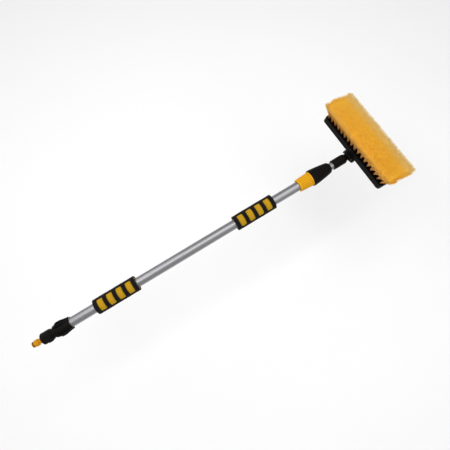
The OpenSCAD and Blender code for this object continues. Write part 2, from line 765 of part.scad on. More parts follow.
hose_nipple();
nipple_o_ring();
nipple_washer();
valve_collar();
valve_rotor();
valve_seat();
collar_clip();
spigot_o_ring();
valve_body();
stem_o_ring();
end_sleeve();
sleeve_screw();
outer_tube();
rear_grip_core();
rear_grip_cover();
front_grip_core();
front_grip_cover();
lock_body();
guide_bush();
lock_collet();
lock_nut();
wiper_ring();
inner_tube();
piston_plug();
piston_o_rings();
head_socket();
socket_seal();
socket_screw();
neck_eye();
hinge_pin();
pin_o_rings();
pin_washer();
pin_cap_nut();
brush_block();
channel_gasket();
channel_cover();
cover_screws();
jet_nozzles();
tuft_row_1();
tuft_row_2();
tuft_row_3();
tuft_row_4();
tuft_row_5();
tuft_row_6();
tuft_row_7();
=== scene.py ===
"""Looks of a water-fed wash brush on a telescopic pole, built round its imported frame."""
import json
import math

import bpy
import numpy as np
from mathutils import Matrix, Vector


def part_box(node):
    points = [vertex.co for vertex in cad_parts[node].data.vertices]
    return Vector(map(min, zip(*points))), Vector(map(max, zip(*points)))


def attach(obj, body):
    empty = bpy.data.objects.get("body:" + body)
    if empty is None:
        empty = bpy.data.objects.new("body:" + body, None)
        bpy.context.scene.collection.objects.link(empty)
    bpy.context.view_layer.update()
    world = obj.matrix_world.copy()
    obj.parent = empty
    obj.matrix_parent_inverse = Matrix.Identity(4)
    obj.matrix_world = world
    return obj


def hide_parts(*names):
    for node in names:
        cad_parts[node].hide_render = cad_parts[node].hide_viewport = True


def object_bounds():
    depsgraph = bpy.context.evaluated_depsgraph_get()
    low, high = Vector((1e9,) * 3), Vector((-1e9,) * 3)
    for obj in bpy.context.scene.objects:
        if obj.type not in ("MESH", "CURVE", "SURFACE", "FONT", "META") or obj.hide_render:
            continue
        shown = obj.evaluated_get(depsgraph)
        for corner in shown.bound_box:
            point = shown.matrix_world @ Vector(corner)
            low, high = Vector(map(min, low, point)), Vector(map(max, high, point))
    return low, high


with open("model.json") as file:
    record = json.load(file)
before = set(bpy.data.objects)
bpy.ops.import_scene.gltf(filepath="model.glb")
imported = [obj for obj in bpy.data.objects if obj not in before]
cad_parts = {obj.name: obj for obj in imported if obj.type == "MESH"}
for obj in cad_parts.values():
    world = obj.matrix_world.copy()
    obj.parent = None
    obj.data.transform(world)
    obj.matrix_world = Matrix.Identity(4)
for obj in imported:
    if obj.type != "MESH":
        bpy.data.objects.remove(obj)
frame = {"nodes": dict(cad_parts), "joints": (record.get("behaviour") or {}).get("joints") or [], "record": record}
CAD_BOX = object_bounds()
MM = 0.001

# ---- Camera ----

CAMERA_AT = Vector((0.4550, -0.2285, 0.9196))
CAMERA_AIM = Vector((0.5458, 0.0114, 0.0))
CAMERA_UP = Vector((0.5118, 0.8176, 0.2638))
CAMERA_LENS = 29.34
SENSOR = 36.0


def place_camera():
    """A camera at CAMERA_AT that looks at CAMERA_AIM, turned so that CAMERA_UP points up."""
    data = bpy.data.cameras.new("camera")
    data.lens = CAMERA_LENS
    data.sensor_width = SENSOR
    data.clip_end = 100.0
    camera = bpy.data.objects.new("camera", data)
    bpy.context.scene.collection.objects.link(camera)
    back = (CAMERA_AT - CAMERA_AIM).normalized()
    right = CAMERA_UP.cross(back).normalized()
    up = back.cross(right)
    turn = Matrix((right, up, back)).transposed()
    camera.matrix_world = Matrix.Translation(CAMERA_AT) @ turn.to_4x4()
    bpy.context.scene.camera = camera


# ---- Shader maths ----


class Field:
    """A node's output socket. Adding, subtracting and multiplying fields adds Math nodes."""

    def __init__(self, finish, socket):
        self.finish = finish
        self.socket = socket

    def _math(self, operation, *values):
        made = self.finish.node("ShaderNodeMath", {"operation": operation},
                                dict(enumerate(values)))
        return made(0)

    def __add__(self, other):
        return self._math("ADD", self, other)

    def __radd__(self, other):
        return self._math("ADD", other, self)

    def __sub__(self, other):
        return self._math("SUBTRACT", self, other)

    def __rsub__(self, other):
        return self._math("SUBTRACT", other, self)

    def __mul__(self, other):
        return self._math("MULTIPLY", self, other)

    def __rmul__(self, other):
        return self._math("MULTIPLY", other, self)

    def clamped(self):
        """The field, held between 0 and 1."""
        return self._math("MINIMUM", self._math("MAXIMUM", self, 0.0), 1.0)


class Finish:
    """A procedural material: one Principled shader and the nodes that feed it."""

    def __init__(self, name, constants=None):
        self.material = bpy.data.materials.new(name)
        self.material.use_nodes = True
        self.tree = self.material.node_tree
        self.tree.nodes.clear()
        output = self.tree.nodes.new("ShaderNodeOutputMaterial")
        self.shader = self.tree.nodes.new("ShaderNodeBsdfPrincipled")
        self.tree.links.new(self.shader.outputs[0], output.inputs["Surface"])
        for key, value in (constants or {}).items():
            self.shader.inputs[key].default_value = value
        self.place = self.node("ShaderNodeTexCoord")("Object")

    def node(self, kind, settings=None, inputs=None):
        """Adds a node, sets it up, fills its sockets, and returns a picker of its outputs.

        The setting "stops" is a ramp's list of (place, colour)."""
        made = self.tree.nodes.new(kind)
        for key, value in (settings or {}).items():
            if key == "stops":
                self.set_stops(made.color_ramp, value)
            else:
                setattr(made, key, value)
        for key, value in (inputs or {}).items():
            self.fill(made.inputs[key], value)
        return lambda name: Field(self, made.outputs[name])

    @staticmethod
    def set_stops(band, stops):
        """Gives a ramp its stops."""
        while len(band.elements) < len(stops):
            band.elements.new(0.5)
        for element, (place, colour) in zip(band.elements, stops):
            element.position = place
            element.color = (*colour, 1.0)

    def fill(self, socket, value):
        """Links a field to a socket, or sets the socket to a value."""
        if isinstance(value, Field):
            self.tree.links.new(value.socket, socket)
        elif isinstance(value, tuple) and socket.type == "RGBA":
            socket.default_value = (*value, 1.0)
        else:
            socket.default_value = value

    def feed(self, **values):
        """Feeds the shader's varying sockets, such as base_color or roughness."""
        for key, value in values.items():
            self.fill(self.shader.inputs[key.replace("_", " ").title()], value)

    def ramp(self, amount, stops):
        """A colour ramp over a field, with stops of (place, colour)."""
        return self.node("ShaderNodeValToRGB", {"stops": stops}, {0: amount})(0)

    def mix(self, amount, first, second):
        """A blend of two colours or colour fields.

        The numbers are the Mix node's sockets for colours: factor, A, B and result."""
        return self.node("ShaderNodeMix", {"data_type": "RGBA"},
                         {0: amount, 6: first, 7: second})(2)

    def stretched(self, scale):
        """Object coordinates, scaled along each axis."""
        return self.node("ShaderNodeMapping", None,
                         {"Vector": self.place, "Scale": scale})("Vector")

    def noise(self, scale, detail=3.0, roughness=0.55, place=None):
        """Smooth noise from 0 to 1, with features of about 1/scale metres."""
        return self.node("ShaderNodeTexNoise", None,
                         {"Vector": place or self.place, "Scale": scale, "Detail": detail,
                          "Roughness": roughness})(0)

    def cells(self, scale):
        """Distance to the nearest cell centre, for the pores of a foam."""
        return self.node("ShaderNodeTexVoronoi", None,
                         {"Vector": self.place, "Scale": scale})("Distance")

    def filleted(self, radius):
        """The normal that the surface would have with its edges rounded to that radius."""
        return self.node("ShaderNodeBevel", {"samples": 4}, {"Radius": radius})("Normal")

    def edges(self, soft, gain):
        """0 on flat faces, up to 1 where a filleted normal turns away from the true one."""
        true = self.node("ShaderNodeNewGeometry")("Normal")
        along = self.node("ShaderNodeVectorMath", {"operation": "DOT_PRODUCT"},
                          {0: soft, 1: true})("Value")
        return ((1.0 - along) * gain).clamped()

    def crevices(self, reach):
        """0 in the open, up to 1 in grooves and corners no wider than the reach."""
        return 1.0 - self.node("ShaderNodeAmbientOcclusion", {"samples": 6, "only_local": True},
                               {"Distance": reach})("AO")

    def bump(self, height, distance, over=None):
        """A bump from a height field, where distance is the height of 1, in metres."""
        inputs = {"Height": height, "Distance": distance}
        if over:
            inputs["Normal"] = over
        self.feed(normal=self.node("ShaderNodeBump", None, inputs)("Normal"))


# ---- Finishes ----

# Linear colours
BLACK_MOULDING = (0.0040, 0.0034, 0.0029)
BLACK_SCUFFED = (0.030, 0.029, 0.028)
YELLOW_MOULDING = (0.700, 0.345, 0.007)
ORANGE_MOULDING = (0.540, 0.230, 0.007)
YELLOW_FOAM = (0.460, 0.258, 0.008)
BLACK_FOAM = (0.0055, 0.0048, 0.0045)
ALUMINIUM = (0.310, 0.310, 0.322)
BLACKENED_STEEL = (0.040, 0.040, 0.043)
BRIGHT_STEEL = (0.400, 0.395, 0.390)


def moulded(name, colour, worn, roughness):
    """Injection-moulded plastic: fine spark-eroded grain, cloudy gloss, paler worn edges, and painted shade that
    darkens its grooves and corners.
    """
    finish = Finish(name, {"Specular IOR Level": 0.07})
    cloud = finish.noise(60.0)
    grain = finish.noise(2200.0, 2.0)
    soft = finish.filleted(0.7 * MM)
    wear = finish.edges(soft, 3.0) * finish.noise(350.0)
    # Painted shade: an ambient-occlusion mask darkens the colour in grooves and corners, where shade falls.
    crevice_shade = (finish.crevices(2.5 * MM) * 1.6).clamped() * 0.8
    clouded = finish.mix(cloud * 0.5, colour, tuple(c * 1.25 for c in colour))
    crevice_shaded = finish.mix(crevice_shade, clouded, (colour[0] * 0.45, colour[1] * 0.30, colour[2] * 0.3))
    finish.feed(base_color=finish.mix(wear, crevice_shaded, worn),
                roughness=(roughness + (cloud - 0.5) * 0.16 + wear * 0.12).clamped())
    finish.bump(grain, 0.02 * MM, soft)
    return finish.material


def drawn_aluminium():
    """Drawn and anodised tube: hair-fine lines along the pole, with a cloudy satin gloss."""
    finish = Finish("drawn_aluminium", {"Metallic": 0.92})
    lines = finish.noise(1.0, 3.0, 0.6, finish.stretched((9.0, 2600.0, 2600.0)))
    cloud = finish.noise(14.0)
    scuff = finish.noise(1.0, 4.0, 0.7, finish.stretched((160.0, 420.0, 420.0)))
    mark = ((scuff - 0.62) * 6.0).clamped()
    darker = tuple(c * 0.86 for c in ALUMINIUM)
    finish.feed(base_color=finish.mix((lines * 0.5 + cloud * 0.4 + mark * 0.3).clamped(),
                                      ALUMINIUM, darker),
                roughness=(0.30 + lines * 0.14 + mark * 0.1).clamped())
    finish.bump(lines, 0.012 * MM)
    return finish.material


def closed_cell_foam(name, colour, pale):
    """Closed-cell foam: pores half a millimetre wide, a soft skin and rubbed edges."""
    finish = Finish(name, {"Specular IOR Level": 0.1, "Sheen Weight": 0.02,
                          "Sheen Roughness": 0.6})
    pores = finish.cells(1500.0)
    cloud = finish.noise(110.0, 4.0)
    rub = finish.edges(finish.filleted(1.2 * MM), 2.0) * cloud
    finish.feed(base_color=finish.mix((rub + (cloud - 0.5) * 0.5 + (0.4 - pores) * 0.35).clamped(),
                                      colour, pale),
                roughness=(0.78 + (cloud - 0.5) * 0.2).clamped())
    finish.bump(pores + cloud * 0.8, 0.10 * MM)
    return finish.material


def seal_rubber():
    """Black sealing rubber with a faint bloom."""
    finish = Finish("seal_rubber", {"Specular IOR Level": 0.2})
    bloom = finish.noise(500.0)
    finish.feed(base_color=finish.mix(bloom * 0.6, (0.005, 0.005, 0.005), (0.016, 0.016, 0.016)),
                roughness=0.45 + bloom * 0.2)
    finish.bump(bloom, 0.01 * MM)
    return finish.material


def blackened_steel():
    """Chemically blackened steel: fine lines, and edges rubbed bright."""
    finish = Finish("blackened_steel", {"Metallic": 1.0})
    lines = finish.noise(1800.0)
    soft = finish.filleted(0.3 * MM)
    wear = finish.edges(soft, 3.0)
    finish.feed(base_color=finish.mix(wear * 0.5, BLACKENED_STEEL, BRIGHT_STEEL),
                roughness=(0.28 + lines * 0.16).clamped())
    finish.bump(lines, 0.006 * MM, soft)
    return finish.material


def bristle_fibre():
    """Soft dyed bristle: gold along it and straw at its tip, with painted shade that darkens it to burnt orange
    and near black towards its root.

    The piece's own attribute "strand" holds how far along a strand a point is, how near the strand is to the
    brush's rim, and a random tone with painted shade where the lumpy top of the bristles dips."""
    finish = Finish("bristle_fibre", {"Specular IOR Level": 0.2, "Sheen Weight": 0.15,
                                      "Sheen Roughness": 0.5})
    parts = finish.node("ShaderNodeAttribute", {"attribute_name": "strand"})("Color")
    split = finish.node("ShaderNodeSeparateColor", None, {"Color": parts})
    along, rim, tone_and_painted_shade = split("Red"), split("Green"), split("Blue")
    clump = finish.noise(150.0, 4.0)
    # Painted shade: the ramp darkens each strand to burnt orange and near black towards its root, as shade deep in
    # the tufts.
    body = finish.ramp(along, [(0.0, (0.10, 0.020, 0.004)), (0.15, (0.66, 0.190, 0.010)),
                               (0.60, (0.92, 0.490, 0.024)), (1.0, (0.92, 0.570, 0.048))])
    pale = finish.mix((rim * (along * 2.0 - 0.90).clamped() * 0.95).clamped(), body,
                      (0.84, 0.66, 0.260))
    # Mixes towards a darker orange by the random tone, by the painted shade in the dips and by clumps of noise.
    toned = finish.mix((tone_and_painted_shade * 0.45 + (clump - 0.5) * 0.6).clamped(), pale,
                       (0.80, 0.330, 0.016))
    finish.feed(base_color=toned, roughness=(0.55 + tone_and_painted_shade * 0.2).clamped())
    finish.bump(finish.noise(700.0, 3.0), 0.25 * MM)
    return finish.material


# Slot: name, colour, colour of worn edges and roughness
MOULDINGS = {
    "black_plastic": ("black_moulding", BLACK_MOULDING, BLACK_SCUFFED, 0.42),
    "yellow_plastic": ("yellow_moulding", YELLOW_MOULDING, (0.90, 0.55, 0.06), 0.36),
    "orange_plastic": ("orange_moulding", ORANGE_MOULDING, (0.90, 0.42, 0.05), 0.33),
    "grey_plastic": ("grey_moulding", (0.11, 0.11, 0.115), (0.2, 0.2, 0.2), 0.45),
    "white_plastic": ("white_moulding", (0.62, 0.61, 0.56), (0.75, 0.74, 0.7), 0.4),
    "ceramic": ("lapped_ceramic", (0.72, 0.70, 0.64), (0.8, 0.79, 0.75), 0.2),
}


def make_finishes():
    """One finish for each material slot of the record."""
    finishes = {slot: moulded(*moulding) for slot, moulding in MOULDINGS.items()}
    finishes.update({
        "seal_rubber": seal_rubber(),
        "steel": blackened_steel(),
        "tube_aluminium": drawn_aluminium(),
        "yellow_foam": closed_cell_foam("yellow_foam", YELLOW_FOAM, (0.84, 0.55, 0.05)),
        "black_foam": closed_cell_foam("black_foam", BLACK_FOAM, (0.028, 0.027, 0.031)),
        "bristles": bristle_fibre(),
    })
    return finishes


def clothe_nodes(finishes):
    """Gives every carried-over node the finish of its material slot."""
    for part in frame["record"]["subparts"]:
        mesh = frame["nodes"][part["node"]].data
        mesh.materials.clear()
        mesh.materials.append(finishes[part["material_slot"]])


# ---- Surfaces ----


def add_piece(name, points, faces, material, body, stands_for):
    """Makes a smooth mesh piece from arrays of points and faces, and fits it into the frame."""
    mesh = bpy.data.meshes.new(name)
    mesh.from_pydata(points.tolist(), [], faces.tolist())
    mesh.materials.append(material)
    mesh.polygons.foreach_set("use_smooth", np.ones(len(mesh.polygons), bool))
    mesh.update()
    piece = bpy.data.objects.new(name, mesh)
    bpy.context.scene.collection.objects.link(piece)
    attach(piece, body)
    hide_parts(stands_for)
    return piece


def ring_faces(rows, columns):
    """Quads of a grid that closes on itself both ways, as in a tube bent back into itself."""
    i, j = np.meshgrid(np.arange(rows), np.arange(columns), indexing="ij")
    i, j = i.ravel(), j.ravel()
    down, across = (i + 1) % rows, (j + 1) % columns
    return np.stack([i * columns + j, i * columns + across,
                     down * columns + across, down * columns + j], axis=1)


def turned_points(along, radius, turns):
    """Points (along, radius sin, radius cos) for each place on a loop and each angle."""
    return np.stack([along, radius * np.sin(turns), radius * np.cos(turns)], axis=-1)


def smooth_step(value):
    """3v^2 - 2v^3, held between 0 and 1."""
    held = np.clip(value, 0.0, 1.0)
    return held * held * (3.0 - 2.0 * held)


# ---- Foam grips ----

WINDOWS = 4
WINDOW_LENGTH = 16.4 * MM
WINDOW_PITCH = 26.3 * MM
WINDOW_HALF_TURN = math.radians(57.0)
WINDOW_MIDDLE = math.radians(-16.0)
WINDOW_CORNER = 3.2 * MM
WINDOW_SOFT = 0.9 * MM      # the width of a window's rolled edge
FOAM_EDGE = 1.6 * MM
PAD_EDGE = 0.8 * MM
FOAM_GAP = 0.05 * MM        # between the tube, the pad and the cover
FOAM_STEP = 0.42 * MM
FOAM_COLUMNS = 256
COVER_DROP = 0.5 * MM       # how far the cover's outer wall sinks past the pad in a window
COVER_TUCK = 0.9 * MM       # and how far its inner wall does
COVER_WAVE = 0.10 * MM
COVER_WAVE_LENGTH = 7.3 * MM
PAD_SWELL = 1.9 * MM
PAD_SWELL_START = 0.6 * MM
PAD_SWELL_RISE = 2.2 * MM


def window_depth(along, turns, radius, middle):
    """How far inside a window a point of the grip lies, in metres, and negative outside.

    The windows are rounded rectangles on the unrolled grip, on two opposite sides. It is
    minus the distance to a rectangle drawn in by the corner radius, plus that radius."""
    half_width = radius * WINDOW_HALF_TURN - WINDOW_CORNER
    half_length = WINDOW_LENGTH / 2 - WINDOW_CORNER
    turned = np.remainder(turns - WINDOW_MIDDLE + math.pi / 2, math.pi) - math.pi / 2
    steps = np.round((along - middle) / WINDOW_PITCH + (WINDOWS - 1) / 2)
    steps = np.clip(steps, 0, WINDOWS - 1) - (WINDOWS - 1) / 2
    out_along = np.abs(along - middle - steps * WINDOW_PITCH) - half_length
    out_round = np.abs(turned) * radius - half_width
    beyond = np.hypot(np.maximum(out_along, 0.0), np.maximum(out_round, 0.0))
    within = np.minimum(np.maximum(out_along, out_round), 0.0)
    return WINDOW_CORNER - beyond - within


def sleeve_loop(start, end, inside, outside, edge, step):
    """A closed outline of a sleeve's wall, as (along, share from inside to outside).

    It runs out along the outer wall, round an edge of a quarter circle at each end, and
    back along the inner wall."""
    corner = np.linspace(0.0, math.pi / 2, 6)
    wall = outside - inside
    outer = np.linspace(start + edge, end - edge, int((end - start) / step))
    inner = outer[::6][::-1]
    rise = 1.0 - edge / wall
    first = (start + edge * (1 - np.sin(corner)), rise + edge / wall * np.cos(corner))
    along = np.concatenate([first[0][::-1], outer[1:-1], (start + end) - first[0], inner])
    share = np.concatenate([first[1][::-1], np.ones(len(outer) - 2), first[1],
                            np.zeros(len(inner))])
    return along, share


def make_grip(which, finishes):
    """A grip's black cover with its windows, and the yellow foam that swells up in them.

    Both are sleeves round the pole's axis: at each angle, the outline from sleeve_loop lies
    between an inner and an outer radius. In a window, a smooth step of the depth sinks the
    cover below the foam and lifts the foam's outer radius by up to PAD_SWELL."""
    low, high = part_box(f"{which}_grip_cover")
    core_low, core_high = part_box(f"{which}_grip_core")
    outside, core = high.z, core_high.z
    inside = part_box("outer_tube")[1].z + FOAM_GAP
    middle = (low.x + high.x) / 2
    turns = np.linspace(0.0, 2 * math.pi, FOAM_COLUMNS, endpoint=False)[None, :]

    along, share = sleeve_loop(low.x, high.x, core + FOAM_GAP, outside, FOAM_EDGE, FOAM_STEP)
    along = along[:, None] + 0.0 * turns
    depth = window_depth(along, turns, outside, middle)
    open_here = smooth_step(depth / WINDOW_SOFT + 0.5)
    waves = COVER_WAVE * np.sin(along / COVER_WAVE_LENGTH + 2.0 * np.sin(2 * turns))
    outer = outside - COVER_WAVE + waves - (outside - core + COVER_DROP) * open_here
    inner = core + FOAM_GAP - COVER_TUCK * open_here
    cover = turned_points(along, inner + (outer - inner) * share[:, None], turns)
    cover_piece = add_piece(f"{which}_grip_skin", cover.reshape(-1, 3),
                            ring_faces(*cover.shape[:2]), finishes["black_foam"], "pole",
                            f"{which}_grip_cover")

    along, share = sleeve_loop(core_low.x + FOAM_EDGE, core_high.x - FOAM_EDGE, inside, core,
                               PAD_EDGE, 2 * FOAM_STEP)
    along = along[:, None] + 0.0 * turns
    depth = window_depth(along, turns, outside, middle)
    swell = PAD_SWELL * smooth_step((depth - PAD_SWELL_START) / PAD_SWELL_RISE)
    pad = turned_points(along, inside + (core + swell - inside) * share[:, None], turns)
    pad_piece = add_piece(f"{which}_grip_pad", pad.reshape(-1, 3), ring_faces(*pad.shape[:2]),
                          finishes["yellow_foam"], "pole",
                          f"{which}_grip_core")


# ---- Bristles ----

HEAD_TILT = math.radians(15.0)
ROW_SEED = 40
END_SLICE = 0.2 * MM        # points this near a row's lowest or highest count as its ends
ROOT_GRID = 0.5 * MM
ROOT_GAP = 6.8 * MM
CORNER = 16.0 * MM
TRAVEL_POWER = 1.35

STRANDS = 230               # in each tuft
STRAND_RADIUS = 0.36 * MM
STRAND_TAPER = 0.35         # lost from root to tip, and what is left in the last ring
STRAND_RINGS = 6
STRAND_SIDES = 3
ROOT_ALONG = 2.0 * MM
ROOT_ACROSS = 2.8 * MM
ROOT_SUNK = 0.3 * MM
TUFT_SPREAD = 1.02
TUFT_LEAN = 1.3 * MM        # the most that a whole tuft leans either way
TIP_LOOSE = 1.5 * MM        # the scatter of single tips
FLANK_LOOSE = 0.5 * MM
TIP_UNEVEN = 1.1 * MM       # the scatter of the tips' height
TIP_DROP = 3.0 * MM         # how much lower the tips are at the rim
END_SHORT = (0.94, 1.04)    # a row's reach at each end, as a share of the whole
END_SHORT_SHARE = 0.6
WAVE_HEIGHT = 0.55 * MM
WAVE_TURNS = 1.3

HEART_TOP = 0.87            # shares of the row's height
HEART_ROOT = 0.34
HEART_DIP = 0.14
HEART_EDGE_DROP = 0.09
HEART_LUMP = 0.008
HEART_INSET = 3.5 * MM      # from the tips of the outermost strands
HEART_WIDTH = 0.66          # half a bar's width at the tips, as a share of the row step
HEART_ROOT_WIDTH = 0.5      # and at the roots, as a share of the tuft's own
HEART_POWER = 10
HEART_RINGS = 12            # for each tuft
HEART_SIDES = 28
SHOULDER = 8.0 * MM

# Waves of the bristle tips: direction in radians, and length over 2 pi in millimetres
LUMP_WAVES = ((0.3, 3.1), (1.1, 2.2), (1.9, 3.7), (2.6, 1.5), (3.3, 1.9), (0.8, 2.7))


def head_axes():
    """The pivot, and the head's own directions: across the block, along it and to the tips."""
    pivot = next(j["pos_m"] for j in frame["joints"] if j["name"] == "head_tilt")
    across = (math.cos(HEAD_TILT), 0.0, -math.sin(HEAD_TILT))
    tipward = (math.sin(HEAD_TILT), 0.0, math.cos(HEAD_TILT))
    return np.array(pivot), np.array([across, (0.0, 1.0, 0.0), tipward])


def in_head(node):
    """A node's points in the head's own directions, from the pivot."""
    pivot, axes = head_axes()
    mesh = frame["nodes"][node].data
    points = np.zeros(len(mesh.vertices) * 3)
    mesh.vertices.foreach_get("co", points)
    return (points.reshape(-1, 3) - pivot) @ axes.T


def row_plan(node):
    """Where a row's tufts stand and where their tips spread to, read off its solid.

    Along the row, a step wider than ROOT_GAP between root points is the space between one
    tuft's end and the next one's start; a tuft's own root is narrower than that."""
    points = in_head(node)
    low, high = points[:, 2].min(), points[:, 2].max()
    roots = points[points[:, 2] < low + END_SLICE]
    tips = points[points[:, 2] > high - END_SLICE]
    places = np.unique(np.round(roots[:, 1] / ROOT_GRID) * ROOT_GRID)
    gaps = np.diff(places) > ROOT_GAP
    starts, ends = places[np.append(True, gaps)], places[np.append(gaps, True)]
    teeth = (starts + ends) / 2
    pitch = (teeth[-1] - teeth[0]) / (len(teeth) - 1)
    spread = tips[:, 1].max() / (teeth[-1] + pitch / 2)
    return {"low": low, "high": high, "teeth": teeth, "spread": spread, "pitch": pitch,
            "root": (roots[:, 0].min() + roots[:, 0].max()) / 2,
            "tip": (tips[:, 0].min() + tips[:, 0].max()) / 2}


def past_corner(across, along, half_across, half_along):
    """How far points are past the corner centres of a rounded rectangle, both ways."""
    return (np.maximum(np.abs(across) - (half_across - CORNER), 0.0),
            np.maximum(np.abs(along) - (half_along - CORNER), 0.0))


def round_corners(across, along, half_across, half_along):
    """Draws points beyond a rounded rectangle's corners in to its edge.

    A point past both corner lines moves towards the corner's centre until it is no farther
    from it than the corner's radius."""
    past_across, past_along = past_corner(across, along, half_across, half_along)
    far = np.hypot(past_across, past_along)
    keep = np.where((past_across > 0) & (past_along > 0) & (far > CORNER), CORNER / (far + 1e-9),
                    1.0)
    return (across - np.sign(across) * past_across * (1 - keep),
            along - np.sign(along) * past_along * (1 - keep))


def make_bristles(finishes):
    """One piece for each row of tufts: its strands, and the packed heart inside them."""
    rows = [n for n in sorted(frame["nodes"]) if n.startswith("tuft_row_")]
    plans = [row_plan(n) for n in rows]
    tips = np.array([p["tip"] for p in plans])
    row_step = (tips[-1] - tips[0]) / (len(tips) - 1)
    brush = {"middle": tips.mean(), "row_step": row_step,
             "half_across": (tips[-1] - tips[0]) / 2 + row_step / 2,
             "half_long": plans[0]["teeth"][-1] * plans[0]["spread"] + plans[0]["pitch"] / 2}
    for number, (node, plan) in enumerate(zip(rows, plans)):
        draw = np.random.default_rng(ROW_SEED + number)
        path, rim, tone_and_painted_shade = strand_paths(plan, brush, draw)
        add_tufts(node, strands(path, rim, tone_and_painted_shade, draw), packed_heart(plan, brush), finishes)


def strand_paths(plan, brush, draw):
    """The centre lines of a row's strands, how near the rim each one is, and how dark: a random tone with painted
    shade where the lumpy top of the bristles dips.

    A tuft is a bundle of strands that leave a round root and fan out to fill their share of
    the tip plane. The sideways travel of a strand grows as its height to the power
    TRAVEL_POWER, and it waves a little on the way."""
    half_across, half_long = brush["half_across"], brush["half_long"]
    count = STRANDS * len(plan["teeth"])
    tooth = np.repeat(plan["teeth"], STRANDS)
    a, b = draw.uniform(-1.0, 1.0, (2, count))
    root_across = plan["root"] + ROOT_ACROSS * a * np.sqrt(1 - b * b / 2)
    root_long = tooth + ROOT_ALONG * b * np.sqrt(1 - a * a / 2)

    loose = draw.normal(0.0, TIP_LOOSE, (2, count))
    lean = draw.uniform(-TUFT_LEAN, TUFT_LEAN, (2, len(plan["teeth"])))
    lean = np.repeat(lean, STRANDS, axis=1)
    short = np.repeat(draw.uniform(*END_SHORT, 2), count // 2)
    tip_across = plan["tip"] + TUFT_SPREAD * brush["row_step"] / 2 * a + loose[0] + lean[0]
    tip_long = (tooth * plan["spread"] + TUFT_SPREAD * plan["spread"] * plan["pitch"] / 2 * b
                + loose[1] + lean[1])
    outer = smooth_step((np.abs(tip_long) / half_long - 0.80) / 0.15)
    tip_long = tip_long * (1.0 - (1.0 - short) * END_SHORT_SHARE * outer)
    tip_across, tip_long = round_corners(tip_across - brush["middle"], tip_long, half_across,
                                         half_long)
    flank = half_across - np.abs(draw.normal(0.0, FLANK_LOOSE, count))
    tip_across = np.clip(tip_across, -flank, flank) + brush["middle"]
    tip_long = np.clip(tip_long, -half_long, half_long)
    side = tip_across - brush["middle"]
    edge = np.maximum(np.abs(side) / half_across, np.abs(tip_long) / half_long)
    tip_high = (plan["high"] - np.abs(draw.normal(0.0, TIP_UNEVEN, count))
                - TIP_DROP * np.clip(edge, 0, 1.1) ** 6)
    rim = rim_share(side / half_across)
    # Painted shade: strands are darker where the lumps dip, on top of a random tone.
    tone_and_painted_shade = np.clip(0.4 - 0.2 * lumps(side, tip_long) + draw.uniform(-0.4, 0.5, count), 0.0,
                    1.0)

    t = np.linspace(0.0, 1.0, STRAND_RINGS)[None, :]
    travel = t ** TRAVEL_POWER
    phase = draw.uniform(0, 2 * math.pi, (2, count))[:, :, None]
    wave = WAVE_HEIGHT * np.sin(2 * math.pi * WAVE_TURNS * t[None] + phase) * t[None]
    path = np.stack([
        root_across[:, None] + (tip_across - root_across)[:, None] * travel + wave[0],
        root_long[:, None] + (tip_long - root_long)[:, None] * travel + wave[1],
        plan["low"] - ROOT_SUNK + (tip_high - plan["low"])[:, None] * t], axis=-1)
    return path, rim, tone_and_painted_shade


def lumps(across, along):
    """Gentle unevenness, mostly from -1 to 1: a third of the sum of the six sine waves of
    LUMP_WAVES, which are 9 to 23 mm long."""
    waves = [np.sin((across * math.cos(k) + along * math.sin(k)) / (width * MM) + 3.0 * k)
             for k, width in LUMP_WAVES]
    return sum(waves) / 3.0


def packed_heart(plan, brush):
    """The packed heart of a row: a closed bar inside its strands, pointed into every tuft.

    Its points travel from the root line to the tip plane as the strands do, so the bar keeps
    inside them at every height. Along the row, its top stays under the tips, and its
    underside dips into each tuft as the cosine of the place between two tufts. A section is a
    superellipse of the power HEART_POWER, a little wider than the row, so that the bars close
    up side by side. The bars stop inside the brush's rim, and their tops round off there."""
    reach, flank = brush["half_long"] - HEART_INSET, brush["half_across"] - HEART_INSET
    along = np.linspace(-reach, reach, HEART_RINGS * len(plan["teeth"]))[:, None]
    turn = np.linspace(0.0, 2 * math.pi, HEART_SIDES, endpoint=False)[None, :]
    shape = 1.0 / (np.cos(turn) ** HEART_POWER + np.sin(turn) ** HEART_POWER) ** (
        1.0 / HEART_POWER)
    phase = (along / (plan["pitch"] * plan["spread"]) - 0.5) * 2 * math.pi
    under = HEART_ROOT + HEART_DIP * (1.0 - np.cos(phase))
    t = (HEART_TOP + under) / 2 + (HEART_TOP - under) / 2 * shape * np.sin(turn)
    travel = np.clip(t, 0.0, 1.0) ** TRAVEL_POWER
    side = shape * np.cos(turn)
    tip_across = plan["tip"] - brush["middle"] + HEART_WIDTH * brush["row_step"] * side
    tip_across, tip_long = round_corners(np.clip(tip_across, -flank, flank),
                                         along + 0.0 * side, flank, reach)
    root_across = plan["root"] - brush["middle"] + HEART_ROOT_WIDTH * ROOT_ACROSS * side
    root_long = tip_long / plan["spread"]
    across = root_across + (tip_across - root_across) * travel
    leaning = root_long + (tip_long - root_long) * travel
    inset = CORNER - np.hypot(*past_corner(tip_across, tip_long, flank, reach))
    near_edge = smooth_step(1.0 - inset / SHOULDER)
    lump = lumps(across, leaning)
    t = t + (HEART_LUMP * lump - HEART_EDGE_DROP * near_edge) * smooth_step((t - 0.5) / 0.3)
    high = plan["low"] + (plan["high"] - plan["low"]) * t
    points = np.stack([across + brush["middle"], leaning, high], axis=-1)
    # The third tone is painted shade: darker where the lumps dip.
    tones = np.stack([t, rim_share(across / brush["half_across"]), 0.4 - 0.2 * lump], axis=-1)
    return points[None], tones[None]


def rim_share(side):
    """How pale a place across the brush is, from its share of the half width."""
    return smooth_step((side - 0.15) / 0.80) + 0.35 * smooth_step((-side - 0.6) / 0.35)


